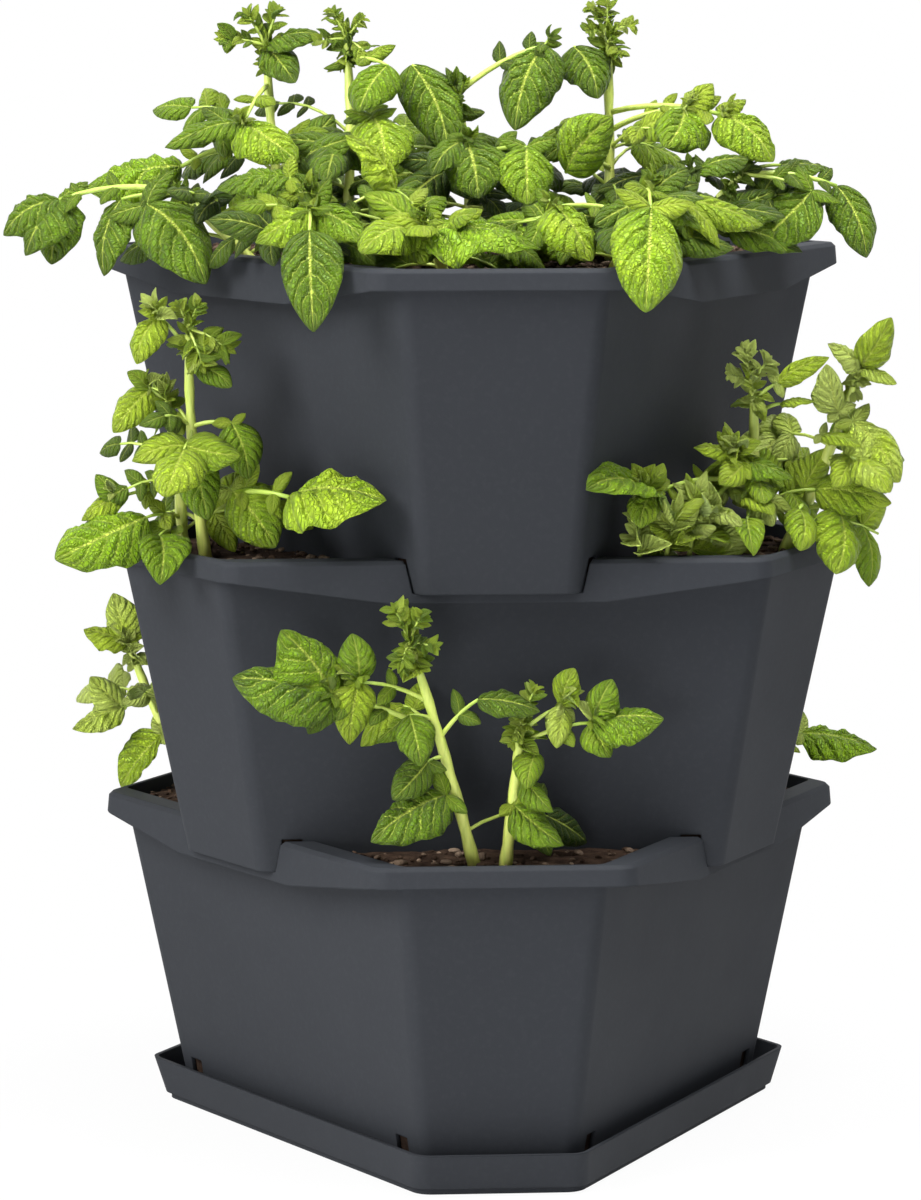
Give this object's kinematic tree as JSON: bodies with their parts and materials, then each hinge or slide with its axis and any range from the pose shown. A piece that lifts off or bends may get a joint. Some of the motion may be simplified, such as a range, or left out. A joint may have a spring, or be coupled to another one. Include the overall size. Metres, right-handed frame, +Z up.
{
  "type": "potato tower",
  "caption": "Stack of truncated-triangle planter tiers in a saucer, each seated in notches of the rim below, filled with soil and growing potato plants from the top and the side pockets.",
  "frame": {"origin": "on the floor, at the middle of the saucer's underside, on the tower's axis", "axes": "+Z up along the stack, -Y towards the front, where the bottom tier shows a short side"},
  "size_m": [0.5794, 0.5003, 0.7286],
  "materials": {
    "anthracite_plastic": "satin moulded grain",
    "soil": "loose potting compost",
    "foliage": "soft leaf"
  },
  "bodies": {
    "saucer": {"saucer": "anthracite_plastic"},
    "tier_bottom": {"tier_bottom": "anthracite_plastic", "soil_bottom": "soil", "plant_front_left": "foliage", "plant_front_right": "foliage", "plant_back_left": "foliage", "plant_back_right": "foliage"},
    "tier_middle": {"tier_middle": "anthracite_plastic", "soil_middle": "soil", "plant_left_tall": "foliage", "plant_left_low": "foliage", "plant_right_tall": "foliage", "plant_right_low": "foliage"},
    "tier_top": {"tier_top": "anthracite_plastic", "soil_top": "soil", "plant_top_left_tall": "foliage", "plant_top_left_side": "foliage", "plant_top_left_front": "foliage", "plant_top_middle_tall": "foliage", "plant_top_middle_bush": "foliage", "plant_top_middle_front": "foliage", "plant_top_right_tall": "foliage", "plant_top_right_side": "foliage", "plant_top_right_front": "foliage"}
  },
  "joints": [
    {"name": "bottom_tier_lift", "type": "slide", "parent": "saucer", "child": "tier_bottom", "axis": [0, 0, 1], "range_m": [0, 0.25]},
    {"name": "middle_tier_lift", "type": "slide", "parent": "tier_bottom", "child": "tier_middle", "axis": [0, 0, 1], "range_m": [0, 0.25]},
    {"name": "top_tier_lift", "type": "slide", "parent": "tier_middle", "child": "tier_top", "axis": [0, 0, 1], "range_m": [0, 0.25]}
  ]
}
